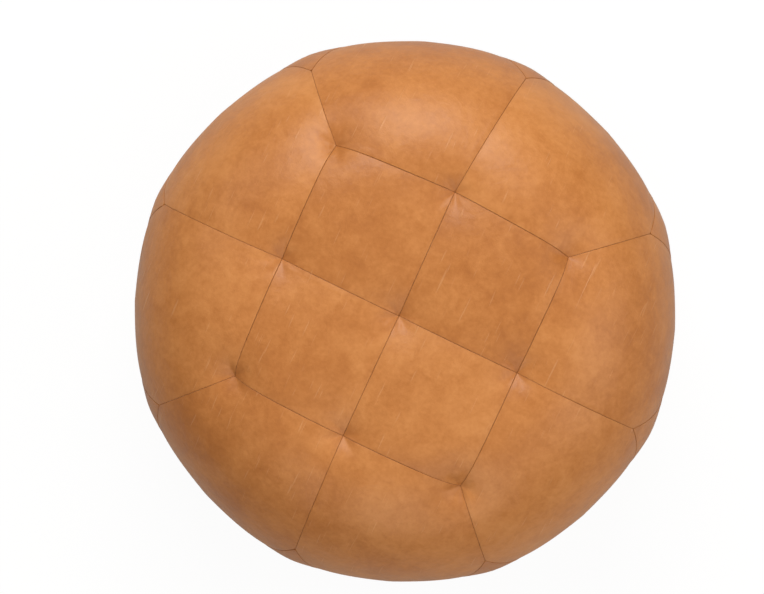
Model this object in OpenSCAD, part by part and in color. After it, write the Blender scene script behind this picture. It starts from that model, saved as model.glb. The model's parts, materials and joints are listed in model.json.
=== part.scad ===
// Round leather pouf. The cover is a patchwork of four squares, eight upper and eight
// lower side panels that meet along a zigzag waist seam, and a base disc with a curved zip.
// Inside are a cotton liner, a fibre wrap and a two-part foam core. Nine twines pull the
// junctions of the top seams down onto washers under the core.
// The origin is at the centre of the base, on the floor, and +Z is up.

/* [Overall size] */
// Diameter at the belly
pouf_d = 600; // [540:10:660]
// Height from the floor to the crown
pouf_h = 370; // [340:5:430]
// Radius of the rounded shoulder
shoulder_r = 160; // [130:5:180]
// Radius of the lower edge, where the side tucks under
tuck_r = 140; // [115:5:150]

/* [Patchwork] */
// Side of each of the four square panels on top
square_w = 136; // [110:2:150]
// Drop from the crown to the upper points of the waist zigzag
zigzag_drop = 82; // [70:2:100]
// Height that the zigzag's lower points aim at; the tucked edge lifts them a little
zigzag_low_z = 60; // [50:5:140]
// Where the base seam runs, in degrees up the tucked edge
base_seam_angle = 40; // [35:1:50]

/* [Leather and thread] */
// Thickness of the leather
leather_t = 1.6; // [1.2:0.1:2.2]
// Depth of the folded seam allowance, from the outer surface
seam_allow = 8; // [7:0.5:12]
// Gap between the two allowances of a seam
seam_gap = 0.2; // [0.1:0.05:0.4]
// Thickness of the sewing thread
thread_w = 0.8; // [0.5:0.1:1]
// Depth of the stitch line below the outer surface
stitch_depth = 5; // [4:0.5:5.5]

/* [Filling] */
// Thickness of the cotton liner
liner_t = 0.8; // [0.5:0.1:1.2]
// Thickness of the fibre wrap
wrap_t = 16.6; // [12:0.2:20]
// Thickness of the soft foam on top of the firm core
topper_t = 70; // [45:5:90]
// Slack between one layer of the filling and the next
layer_gap = 0.3; // [0.2:0.05:0.5]

/* [Tufting] */
// Radius of the tufting twine
twine_r = 1.1; // [0.8:0.1:1.4]
// Radius of the twine's way through the foam
twine_bore_r = 3; // [2:0.5:4]
// Radius of the hole for a pull tab through the liner and the wrap
tab_hole_r = 8; // [7:0.5:10]
// Width of a pull tab
tab_w = 12; // [9:0.5:13]
// Thickness of a pull tab
tab_t = 1.2; // [1:0.1:1.6]
// Length of a pull tab below the seam allowances
tab_l = 26; // [22:1:32]
// Height of an anchor washer's seat above the floor
washer_z = 44; // [42:1:60]
// Radius of an anchor washer
washer_r = 14; // [10:1:17]
// Thickness of an anchor washer
washer_t = 3; // [2:0.5:4]

/* [Zip] */
// Angle of the base seam that the zip covers, in degrees
zip_span = 135; // [90:5:170]
// Width of the slot in the leather that shows the zip
zip_slot = 10; // [10:0.5:12]
// Width of one zip tape
tape_w = 15; // [13:0.5:18]
// Thickness of the zip tape
tape_t = 0.6; // [0.5:0.1:0.8]
// Radius of the coil of one row
coil_r = 1.1; // [0.9:0.05:1.15]
// Gap between the two rows, which the slider's post runs in
row_gap = 1; // [0.9:0.05:1.2]
// Length of the slider along the zip
slider_l = 13; // [11:0.5:16]
// Length of the pull tab of the slider, from its pin to its tip
pull_l = 24; // [18:1:26]

/* [Hidden] */
$fn = 96;
belly_r = pouf_d / 2;
n_sides = 8;
side_step = 360 / n_sides;
half_step = side_step / 2;
hair = 0.1;
beyond = belly_r + 100;

// Waist zigzag: the panels meet on planes that fall from each upper point at this slope
zigzag_top_z = pouf_h - zigzag_drop;
zigzag_slope = atan((zigzag_top_z - zigzag_low_z) / (belly_r * sin(half_step)));

// Depths of the layers below the outer surface
liner_o = seam_allow + layer_gap;
wrap_o = liner_o + liner_t + layer_gap;
foam_o = wrap_o + wrap_t + layer_gap;
fold_i = seam_gap / 2 + leather_t;

// Tufting
tuft_places = [for (i = [-1:1], j = [-1:1]) [i * square_w, j * square_w]];
eye_r = twine_r + 0.5;
eye_above_end = 5;
hitch_r = 4;
twine_sag = 0.4;
knot_r = 3;
washer_bore_r = twine_r + 0.3;
pocket_r = washer_r + 3;

// Zip: depths below the outer surface, and distances across the zip from its centre line
zip_mid = 90;
zip_from = zip_mid - zip_span / 2;
zip_to = zip_mid + zip_span / 2;
tape_o = leather_t + 0.2;
tape_in_o = tape_o + tape_t;
coil_o = tape_o - coil_r - 0.05;
coil_y = row_gap / 2 + coil_r;
coil_out_o = coil_o - coil_r;
plate_t = 1.1;
plate_gap = 0.35;
plate_in_t = 0.9;
plate_in_gap = 0.5;
plate_o = coil_out_o - plate_gap;
plate_top_o = plate_o - plate_t;
slider_half_w = 4.2;
slider_wall = 0.8;
post_half_w = 0.25;
guard_o = tape_in_o + 2.4;
guard_t = 0.6;
seam_r = belly_r - tuck_r + tuck_r * sin(base_seam_angle);
seam_z = tuck_r - tuck_r * cos(base_seam_angle);
degrees_per_mm = 180 / (PI * seam_r);
stop_l = 3.5;
stop_from = zip_from + 2 * degrees_per_mm;
coil_from = stop_from + (stop_l + 0.5) * degrees_per_mm;
slider_at = coil_from + (slider_l / 2 + 0.5) * degrees_per_mm;
pin_r = 0.8;
pin_gap = 0.3;
pin_z = -plate_top_o + pin_gap + pin_r;
strap_half_w = 1.3;
strap_t = 1;
strap_half_l = 4.5;
strap_z = pin_z + pin_r + pin_gap;
window_l = 5.8;
pull_half_w = 3.6;
pull_t = 1.4;

leather_tan = [0.72, 0.47, 0.27];
thread_brown = [0.45, 0.27, 0.14];
cotton = [0.9, 0.86, 0.78];
fibre_white = [0.96, 0.96, 0.94];
foam_cream = [0.93, 0.88, 0.66];
foam_blue = [0.62, 0.74, 0.8];
twine_natural = [0.78, 0.68, 0.5];
washer_grey = [0.35, 0.35, 0.37];
zip_brown = [0.36, 0.22, 0.13];
zip_brass = [0.72, 0.55, 0.28];

// ---- Outer form ----

// Half of the pouf's upright section, taken in by o all round
module section(o) {
    translate([belly_r - shoulder_r, pouf_h - shoulder_r]) circle(r = shoulder_r - o);
    translate([belly_r - tuck_r, tuck_r]) circle(r = tuck_r - o);
    translate([0, o]) square([belly_r - tuck_r, tuck_r]);
    translate([0, tuck_r]) square([belly_r - o, pouf_h - shoulder_r - tuck_r]);
    translate([0, pouf_h - shoulder_r - 1]) square([belly_r - shoulder_r, shoulder_r + 1 - o]);
}

module body(o) {
    rotate_extrude() intersection() {
        section(o);
        square([belly_r + 1, pouf_h + 1]);
    }
}

// Height of the outer form at radius r, taken in by o
function top_z(r, o) =
    let (over = r - (belly_r - shoulder_r))
    over <= 0 ? pouf_h - o : pouf_h - shoulder_r + sqrt(pow(shoulder_r - o, 2) - over * over);

// ---- Where the panels lie: each region is taken in by i from its seams ----

// Upright wedge of one side panel, centred on +X
module wedge(i) {
    start = i / sin(half_step);
    reach = (beyond - start) * tan(half_step);
    translate([0, 0, -1]) linear_extrude(height = pouf_h + 2)
        polygon([[start, 0], [beyond, -reach], [beyond, reach]]);
}

// All that lies below the zigzag's point on +X
module below_zigzag(i) {
    peak = zigzag_top_z - i / cos(zigzag_slope);
    foot = peak - beyond * tan(zigzag_slope);
    rotate([90, 0, 90]) linear_extrude(height = beyond)
        polygon([[0, peak], [beyond, foot], [-beyond, foot]]);
}

// The section's half plane on the floor's side of the base seam, moved up the side by s
module arc_frame() {
    translate([belly_r - tuck_r, tuck_r]) rotate(base_seam_angle - 90) children();
}

module base_region(s) {
    rotate_extrude() {
        intersection() {
            arc_frame() translate([0, s - beyond]) square([tuck_r + 20, beyond]);
            translate([0, -1]) square([beyond, tuck_r + 1]);
        }
        translate([0, -1]) square([belly_r - tuck_r, tuck_r + 1]);
    }
}

module top_region(k, i) {
    rotate([0, 0, k * 90]) translate([i, i, pouf_h - shoulder_r])
        cube([square_w - 2 * i, square_w - 2 * i, shoulder_r + 1]);
}

module upper_wedge(i) {
    slant = i * sqrt(2);
    difference() {
        linear_extrude(height = pouf_h + 1)
            polygon([[square_w + i, i], [beyond, i], [beyond, beyond - slant],
                     [square_w + i, square_w + i - slant]]);
        for (k = [0, 1]) rotate([0, 0, k * side_step]) intersection() {
            below_zigzag(-i);
            wedge(-hair);
        }
    }
}

// Every second upper panel is the mirror image of the one before it
module upper_region(k, i) {
    rotate([0, 0, floor(k / 2) * 90])
        if (k % 2 == 0) upper_wedge(i);
        else mirror([1, -1, 0]) upper_wedge(i);
}

module lower_region(k, i) {
    rotate([0, 0, k * side_step]) intersection() {
        wedge(i);
        below_zigzag(i);
    }
}

module region(kind, k, i) {
    if (kind == "top") top_region(k, i);
    if (kind == "upper") upper_region(k, i);
    if (kind == "lower") difference() {
        lower_region(k, i);
        base_region(i);
    }
    if (kind == "base") base_region(-i);
}

// ---- Curved zip, which follows the base seam ----

// Flat shape between two depths and two distances across the zip
module band(o1, o2, y1, y2) {
    arc_frame() intersection() {
        difference() {
            circle(r = tuck_r - o1);
            circle(r = tuck_r - o2);
        }
        translate([0, y1]) square([tuck_r + 20, y2 - y1]);
    }
}

module sweep_zip(from, to) {
    rotate([0, 0, from]) rotate_extrude(angle = to - from) children();
}

// Slot through the leather, and the stretch where the seam has no allowance
module zip_room() {
    clear = 4;
    tails = tape_w + 2;
    sweep_zip(zip_from, zip_to) band(-5, leather_t + 1, -zip_slot / 2, zip_slot / 2);
    sweep_zip(zip_from - clear, zip_to + clear)
        band(leather_t + hair, seam_allow + 2, -guard_tail - 1, tails);
}

// ---- Leather cover ----

// A panel is a skin with its allowance folded in all round
module panel(kind, k) {
    color(leather_tan) difference() {
        intersection() {
            body(0);
            region(kind, k, seam_gap / 2);
        }
        intersection() {
            body(leather_t);
            region(kind, k, fold_i);
        }
        body(seam_allow);
        if (kind == "lower" || kind == "base") zip_room();
    }
}

// A line of stitches along the inner face of a panel's allowance
module thread_loop(kind, k) {
    color(thread_brown) difference() {
        intersection() {
            body(stitch_depth);
            region(kind, k, fold_i);
        }
        region(kind, k, fold_i + thread_w);
        body(stitch_depth + thread_w);
        if (kind == "lower" || kind == "base") zip_room();
    }
}

// ---- Liner, wrap and foam ----

guard_tail = 20;
layer_split = 14;

// One layer of the filling between two depths, in a part above the base and a base part
module layer(o, t, is_base) {
    difference() {
        body(o);
        body(o + t);
        if (is_base) cover_zone(layer_gap / 2);
        else base_region(-layer_split);
        if (!is_base) for (p = tuft_places) translate([p[0], p[1], pouf_h / 2])
            cylinder(r = tab_hole_r, h = pouf_h);
    }
}

// All that lies above the seam between a layer's two parts
module cover_zone(g) {
    difference() {
        translate([0, 0, -1]) cylinder(r = beyond, h = pouf_h + 2);
        base_region(-layer_split - g);
    }
}

module liner_cover() { color(cotton) layer(liner_o, liner_t, false); }
module liner_base() { color(cotton) layer(liner_o, liner_t, true); }
module fibre_wrap_cover() { color(fibre_white) layer(wrap_o, wrap_t, false); }
module fibre_wrap_base() { color(fibre_white) layer(wrap_o, wrap_t, true); }

topper_z = pouf_h - foam_o - topper_t;

module foam_topper() {
    color(foam_cream) difference() {
        body(foam_o);
        translate([0, 0, -1]) cylinder(r = beyond, h = topper_z + 1);
        for (p = tuft_places) translate([p[0], p[1], 0]) {
            cylinder(r = twine_bore_r, h = pouf_h);
            translate([0, 0, tab_end_z(p) - 2 * hitch_r - 2]) cylinder(r = tab_hole_r, h = pouf_h);
        }
    }
}

module foam_core() {
    color(foam_blue) difference() {
        body(foam_o);
        translate([0, 0, topper_z]) cylinder(r = beyond, h = pouf_h);
        for (p = tuft_places) translate([p[0], p[1], 0]) {
            cylinder(r = twine_bore_r, h = pouf_h);
            cylinder(r = pocket_r, h = washer_z);
        }
    }
}

// ---- Tufting ----

function tab_end_z(p) = top_z(norm(p), seam_allow) - tab_l;

// Woven tab that is sewn into a junction of the seams, with an eye for the twine
module pull_tabs() {
    color(cotton) for (p = tuft_places) difference() {
        intersection() {
            body(seam_allow + layer_gap);
            translate([p[0] - tab_w / 2, p[1] - tab_t / 2, tab_end_z(p)])
                cube([tab_w, tab_t, 2 * tab_l]);
        }
        translate([p[0], p[1], tab_end_z(p) + eye_above_end])
            rotate([90, 0, 0]) cylinder(r = eye_r, h = 4 * tab_t, center = true, $fn = 24);
    }
}

// Twine with a hitch through the tab's eye and a knot under the washer
module tufting_twines() {
    color(twine_natural) for (p = tuft_places) {
        hitch_z = tab_end_z(p) + eye_above_end - twine_sag - hitch_r;
        translate([p[0], p[1], hitch_z]) rotate([90, 0, 90])
            rotate_extrude() translate([hitch_r, 0]) circle(r = twine_r, $fn = 24);
        translate([p[0], p[1], washer_z - washer_t - knot_r])
            cylinder(r = twine_r, h = hitch_z - hitch_r - washer_z + washer_t + knot_r, $fn = 24);
        translate([p[0], p[1], washer_z - washer_t - knot_r]) sphere(r = knot_r, $fn = 24);
    }
}

module anchor_washers() {
    color(washer_grey) for (p = tuft_places) translate([p[0], p[1], washer_z - washer_t])
        difference() {
            cylinder(r = washer_r, h = washer_t, $fn = 48);
            translate([0, 0, -1]) cylinder(r = washer_bore_r, h = washer_t + 2, $fn = 24);
        }
}

// ---- Zip ----

module zip_tape(side) {
    color(zip_brown) sweep_zip(zip_from - 2, zip_to + 2)
        if (side > 0) band(tape_o, tape_in_o, (row_gap - 0.2) / 2, tape_w);
        else band(tape_o, tape_in_o, -tape_w, -(row_gap - 0.2) / 2);
}

module zip_coil(side) {
    color(zip_brown) sweep_zip(coil_from, zip_from + zip_to - coil_from)
        arc_frame() translate([tuck_r - coil_o, side * coil_y]) circle(r = coil_r, $fn = 24);
}

// Stitches that hold the leather's edges to the tapes
module zip_topstitch() {
    edge = 3;
    color(thread_brown) for (side = [-1, 1]) sweep_zip(zip_from, zip_to)
        band(-thread_w / 2, 0, side * (zip_slot / 2 + edge) - thread_w / 2,
             side * (zip_slot / 2 + edge) + thread_w / 2);
}

module zip_end_stops() {
    long = stop_l * degrees_per_mm;
    color(zip_brass) for (a = [stop_from, zip_from + zip_to - stop_from - long])
        sweep_zip(a, a + long) band(coil_out_o - 0.3, tape_o - 0.05, -3, 3);
}

// Cotton strip that keeps the slider off the liner, sewn to the base's side of the zip
module zip_guard() {
    color(cotton) sweep_zip(zip_from, zip_to) {
        band(guard_o, guard_o + guard_t, -guard_tail, tape_w - 3);
        band(leather_t + hair, guard_o + guard_t, -guard_tail, -guard_tail + guard_t);
    }
}

// Places children at the slider: X down the side, Y along the zip, Z out of the surface
module at_slider() {
    rotate([0, 0, slider_at]) translate([seam_r, 0, seam_z])
        rotate([0, 180 - base_seam_angle, 0]) children();
}

module slider_sweep(l) {
    half = l / 2 * degrees_per_mm;
    sweep_zip(slider_at - half, slider_at + half) children();
}

// Two plates joined by a thin post between the rows, with a strap that holds the pull's pin
module zip_slider() {
    post_l = 4;
    color(zip_brass) {
        slider_sweep(slider_l) {
            band(plate_top_o, plate_o, -slider_half_w, slider_half_w);
            for (y = [-slider_half_w, slider_half_w - slider_wall])
                band(plate_o - hair, tape_o - 0.5, y, y + slider_wall);
            band(tape_in_o + plate_in_gap, tape_in_o + plate_in_gap + plate_in_t,
                 -slider_half_w, slider_half_w);
        }
        slider_sweep(post_l)
            band(plate_o - hair, tape_in_o + plate_in_gap + hair, -post_half_w, post_half_w);
        at_slider() {
            translate([-strap_half_w, -strap_half_l, strap_z])
                cube([2 * strap_half_w, 2 * strap_half_l, strap_t]);
            for (y = [-strap_half_l, strap_half_l - strap_t])
                translate([-strap_half_w, y, -plate_o + hair])
                    cube([2 * strap_half_w, strap_t, strap_z + plate_o + strap_t - hair]);
        }
    }
}

// Pull: a pin under the strap, two arms beside it, and a rounded tab
module zip_pull() {
    arm_in = strap_half_w + 0.4;
    color(zip_brass) at_slider() translate([0, 0, pin_z]) {
        rotate([0, 90, 0]) cylinder(r = pin_r, h = 2 * pull_half_w, center = true, $fn = 24);
        for (side = [0, 1]) mirror([side, 0, 0]) translate([arm_in, -pull_t / 2, 0])
            cube([pull_half_w - arm_in, pull_t, window_l + 1]);
        difference() {
            union() {
                translate([-pull_half_w, -pull_t / 2, window_l])
                    cube([2 * pull_half_w, pull_t, pull_l - window_l - pull_half_w]);
                translate([0, 0, pull_l - pull_half_w]) rotate([90, 0, 0])
                    cylinder(r = pull_half_w, h = pull_t, center = true);
            }
            translate([0, 0, pull_l - pull_half_w]) rotate([90, 0, 0])
                cylinder(r = pull_half_w / 2, h = 2 * pull_t, center = true, $fn = 24);
        }
    }
}

// ---- The pieces ----

for (k = [0:3])
    panel("top", k);
for (k = [0:n_sides - 1]) {
    panel("upper", k);
    panel("lower", k);
}
panel("base", 0);  // base_panel
for (k = [0:3]) thread_loop("top", k);  // seam_thread_top
for (k = [0:n_sides - 1]) thread_loop("upper", k);  // seam_thread_upper
for (k = [0:n_sides - 1]) thread_loop("lower", k);  // seam_thread_lower
thread_loop("base", 0);  // seam_thread_base
liner_cover();
liner_base();
fibre_wrap_cover();
fibre_wrap_base();
foam_topper();
foam_core();
pull_tabs();
tufting_twines();
anchor_washers();
zip_tape(1);  // zip_tape_side
zip_tape(-1);  // zip_tape_base
zip_coil(1);  // zip_coil_side
zip_coil(-1);  // zip_coil_base
zip_topstitch();
zip_end_stops();
zip_guard();
zip_slider();
zip_pull();
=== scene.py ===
import json
import math

import bmesh
import bpy
import numpy as np
from mathutils import Matrix, Vector


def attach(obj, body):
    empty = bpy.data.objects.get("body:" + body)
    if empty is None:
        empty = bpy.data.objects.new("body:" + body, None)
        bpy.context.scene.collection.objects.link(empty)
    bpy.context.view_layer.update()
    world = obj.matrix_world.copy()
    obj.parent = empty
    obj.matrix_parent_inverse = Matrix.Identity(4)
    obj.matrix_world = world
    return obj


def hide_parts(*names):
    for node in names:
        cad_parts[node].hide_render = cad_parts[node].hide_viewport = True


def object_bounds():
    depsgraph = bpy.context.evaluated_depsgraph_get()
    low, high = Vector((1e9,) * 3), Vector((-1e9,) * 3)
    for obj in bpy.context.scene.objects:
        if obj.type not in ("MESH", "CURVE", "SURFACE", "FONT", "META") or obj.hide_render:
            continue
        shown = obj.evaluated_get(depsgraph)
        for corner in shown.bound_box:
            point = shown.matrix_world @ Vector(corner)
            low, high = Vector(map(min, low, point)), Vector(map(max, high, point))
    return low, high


# %% [markdown]
# A round leather pouf, laid out as lessons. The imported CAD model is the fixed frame: it gives
# the real sizes, the bodies that move and the name of every piece. What follows dresses each of
# those pieces, starting with the view and the light, then the cover, which is by far the
# largest surface, then the filling that nobody sees until the zip is opened, and last the zip.

# %% Load the frame
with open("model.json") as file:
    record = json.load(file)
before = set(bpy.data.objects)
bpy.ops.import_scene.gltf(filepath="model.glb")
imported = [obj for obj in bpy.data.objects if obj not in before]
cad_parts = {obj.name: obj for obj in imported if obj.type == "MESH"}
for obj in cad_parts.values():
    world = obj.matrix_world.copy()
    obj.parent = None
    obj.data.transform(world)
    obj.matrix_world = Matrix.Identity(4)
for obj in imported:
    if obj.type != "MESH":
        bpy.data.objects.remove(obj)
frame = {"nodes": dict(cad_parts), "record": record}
cad_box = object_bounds()
MM = 0.001
POUF = "pouf"
print("CAD box", [round(v, 4) for v in cad_box[0]], [round(v, 4) for v in cad_box[1]])

# %% [markdown]
# The camera hangs nearly straight above the pouf and is turned about its own axis, so that the
# rows of squares run down to the right. It is aimed at a point inside the belly. The small lens
# shift moves the picture without tilting the view, as a technical camera does.

# %% Camera
VIEW_DISTANCE = 2.56
VIEW_TILT = (math.radians(1.91), math.radians(-2.11), math.radians(-25.48))
SENSOR_MM, LENS_MM = 36.0, 108.09424
LENS_SHIFT = (-0.0306, 0.0187)
aim = np.array([0.0, 0.0, 0.190])
tilt_x, tilt_y, roll = (Matrix.Rotation(t, 3, axis) for t, axis in zip(VIEW_TILT, "XYZ"))
to_world = (tilt_x @ tilt_y @ roll).transposed()
camera_data = bpy.data.cameras.new("camera")
camera_data.sensor_width, camera_data.lens = SENSOR_MM, LENS_MM
camera_data.shift_x, camera_data.shift_y = LENS_SHIFT
camera = bpy.data.objects.new("camera", camera_data)
camera.matrix_world = to_world.to_4x4()
camera.location = aim + np.array(to_world.col[2]) * VIEW_DISTANCE
bpy.context.scene.collection.objects.link(camera)
bpy.context.scene.camera = camera
print("camera at", [round(v, 3) for v in camera.location], "lens", round(camera_data.lens, 1))

# %% [markdown]
# Shader graphs are easier to read as sums. This small class wraps one output socket, so that
# a * b + 0.1 adds the Math nodes by itself. Anything that is not plain arithmetic comes from
# one method, which takes the node's type, its settings and the values of its sockets.


# %% Shader arithmetic
class Value:
    """One output socket of a shader graph, with arithmetic."""

    def __init__(self, graph, socket):
        self.graph, self.socket = graph, socket

    def maths(self, operation, *others):
        return self.graph.add("ShaderNodeMath", {"operation": operation}, {0: self, **{
            i + 1: o for i, o in enumerate(others)}})

    def __add__(self, other):
        return self.maths("ADD", other)

    def __sub__(self, other):
        return self.maths("SUBTRACT", other)

    def __mul__(self, other):
        return self.maths("MULTIPLY", other)

    def __rsub__(self, other):
        return self.graph.add("ShaderNodeMath", {"operation": "SUBTRACT"}, {0: other, 1: self})

    __radd__ = __add__
    __rmul__ = __mul__

    def ramp(self, low, high, out_low=0.0, out_high=1.0):
        """Smooth step from low to high, clamped."""
        return self.graph.add("ShaderNodeMapRange", {"interpolation_type": "SMOOTHSTEP"}, {
            "Value": self, "From Min": low, "From Max": high,
            "To Min": out_low, "To Max": out_high})

    def out(self, name):
        """Another output of the same node."""
        return Value(self.graph, self.socket.node.outputs[name])


class Graph:
    """A node material with one Principled shader."""

    def __init__(self, name):
        self.material = bpy.data.materials.new(name)
        self.material.use_nodes = True
        self.tree = self.material.node_tree
        self.shader = self.tree.nodes["Principled BSDF"]

    def add(self, kind, settings=None, values=None):
        node = self.tree.nodes.new(kind)
        for key, value in (settings or {}).items():
            if key == "stops":
                ramp = node.color_ramp
                while len(ramp.elements) < len(value):
                    ramp.elements.new(0.5)
                for element, (place, colour) in zip(ramp.elements, value):
                    element.position = place
                    element.color = (*colour, 1.0)
            else:
                setattr(node, key, value)
        for key, value in (values or {}).items():
            socket = node.inputs[key]
            if isinstance(value, Value):
                self.tree.links.new(value.socket, socket)
            else:
                socket.default_value = value
        return Value(self, next(o for o in node.outputs if o.enabled))

    def mix(self, factor, first, second):
        """Mixes two colours, each a socket or three numbers."""
        first, second = (c if isinstance(c, Value) else (*c, 1.0) for c in (first, second))
        return self.add("ShaderNodeMix", {"data_type": "RGBA", "blend_type": "MIX"},
                        {0: factor, 6: first, 7: second})

    def noise(self, where, scale, detail=3.0, roughness=0.5, distortion=0.0):
        return self.add("ShaderNodeTexNoise", None, {
            "Vector": where, "Scale": scale, "Detail": detail,
            "Roughness": roughness, "Distortion": distortion})

    def place(self):
        return self.add("ShaderNodeTexCoord").out("Object")

    def shift(self, where, offset=(0.0, 0.0, 0.0), scale=(1.0, 1.0, 1.0), turn=(0.0, 0.0, 0.0)):
        return self.add("ShaderNodeMapping", None, {
            "Vector": where, "Location": offset, "Rotation": turn, "Scale": scale})

    def attribute(self, name, output="Fac"):
        return self.add("ShaderNodeAttribute", {"attribute_name": name}).out(output)

    def bump(self, height, distance, strength=1.0, under=None):
        values = {"Height": height, "Distance": distance, "Strength": strength}
        if under is not None:
            values["Normal"] = under
        return self.add("ShaderNodeBump", None, values)

    def finish(self, **sockets):
        """Sets the shader's sockets by name, with spaces written as _."""
        for key, value in sockets.items():
            socket = self.shader.inputs[key.replace("_", " ")]
            if isinstance(value, Value):
                self.tree.links.new(value.socket, socket)
            elif hasattr(value, "__len__"):
                socket.default_value = (*value, 1.0)[:len(socket.default_value)]
            else:
                socket.default_value = value
        return self.material


print("shader helpers ready")

# %% [markdown]
# The light is a plain studio: a strong soft box beyond the top edge of the picture, weaker ones
# to the left, to the right and below, and a dim warm surround that is brightest overhead. The
# floor is pale. To the camera it is nearly white by itself, so no extra light has to be thrown
# on the leather to make the background white, and it still shows the shadow under the belly.

# %% Studio
picture_right, picture_up = (np.array(to_world.col[i]) for i in (0, 1))


def soft_box(name, place, target, size, watts, colour):
    lamp = bpy.data.lights.new(name, "AREA")
    lamp.shape, lamp.size = "SQUARE", size
    lamp.energy, lamp.color = watts, colour
    holder = bpy.data.objects.new(name, lamp)
    direction = Vector(target) - Vector(place)
    holder.rotation_mode = "QUATERNION"
    holder.rotation_quaternion = direction.to_track_quat("-Z", "Y")
    holder.location = place
    bpy.context.scene.collection.objects.link(holder)


soft_box("key_light", picture_up * 1.8 + np.array([0, 0, 2.0]), (0, 0, 0.2), 1.5, 46.0,
         (1.0, 0.985, 0.96))
soft_box("left_light", picture_up * 1.3 - picture_right * 1.7 + np.array([0, 0, 1.5]),
         (0, 0, 0.2), 1.1, 6.0, (1.0, 0.97, 0.95))
soft_box("right_light", picture_right * 2.0 - picture_up * 0.4 + np.array([0, 0, 1.7]),
         (0, 0, 0.2), 1.8, 19.0, (1.0, 0.98, 0.96))
soft_box("low_light", -picture_up * 2.0 + np.array([0, 0, 1.8]), (0, 0, 0.2), 1.8, 15.0,
         (1.0, 0.98, 0.96))
world = bpy.data.worlds.new("surround")
bpy.context.scene.world = world
world.use_nodes = True
bpy.context.scene.view_settings.view_transform = "Standard"


def floor_finish():
    g = Graph("pale_floor")
    rays = g.add("ShaderNodeLightPath")
    seen = (rays.out("Is Camera Ray") + rays.out("Is Glossy Ray") * 0.05
            + rays.out("Is Transmission Ray")).maths("MINIMUM", 1.0)
    g.finish(Base_Color=(0.52, 0.52, 0.52), Roughness=0.9, Specular_IOR_Level=0.0)
    white = g.add("ShaderNodeEmission", None, {"Color": (1.0, 1.0, 1.0, 1.0), "Strength": 1.08})
    mixed = g.add("ShaderNodeMixShader", None, {0: seen * 0.86})
    g.tree.links.new(g.shader.outputs[0], mixed.socket.node.inputs[1])
    g.tree.links.new(white.socket, mixed.socket.node.inputs[2])
    g.tree.links.new(mixed.socket, g.tree.nodes["Material Output"].inputs["Surface"])
    return g.material


FLOOR_SIZE = 30.0
floor_mesh = bpy.data.meshes.new("floor")
half = FLOOR_SIZE / 2
floor_mesh.from_pydata([(-half, -half, -0.0005), (half, -half, -0.0005), (half, half, -0.0005),
                        (-half, half, -0.0005)], [], [(0, 1, 2, 3)])
floor_mesh.materials.append(floor_finish())
floor = bpy.data.objects.new("floor", floor_mesh)
bpy.context.scene.collection.objects.link(floor)
world_tree = world.node_tree
paths = world_tree.nodes.new("ShaderNodeLightPath")
direction = world_tree.nodes.new("ShaderNodeTexCoord")
height = world_tree.nodes.new("ShaderNodeSeparateXYZ")
sky = world_tree.nodes.new("ShaderNodeMapRange")
sky.inputs["From Min"].default_value, sky.inputs["From Max"].default_value = 0.0, 0.8
sky.inputs["To Min"].default_value, sky.inputs["To Max"].default_value = 0.06, 0.50
world_tree.links.new(direction.outputs["Generated"], height.inputs[0])
world_tree.links.new(height.outputs["Z"], sky.inputs["Value"])
world_tree.links.new(sky.outputs[0], world_tree.nodes["Background"].inputs["Strength"])
world_tree.nodes["Background"].inputs["Color"].default_value = (1.0, 0.96, 0.90, 1.0)
lit, shown = world_tree.nodes["Background"], world_tree.nodes.new("ShaderNodeBackground")
shown.inputs["Color"].default_value = (1.0, 1.0, 1.0, 1.0)
shown.inputs["Strength"].default_value = 1.0
either = world_tree.nodes.new("ShaderNodeMixShader")
world_tree.links.new(paths.outputs["Is Camera Ray"], either.inputs[0])
world_tree.links.new(lit.outputs[0], either.inputs[1])
world_tree.links.new(shown.outputs[0], either.inputs[2])
world_tree.links.new(either.outputs[0], world_tree.nodes["World Output"].inputs["Surface"])
print("studio ready")
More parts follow.
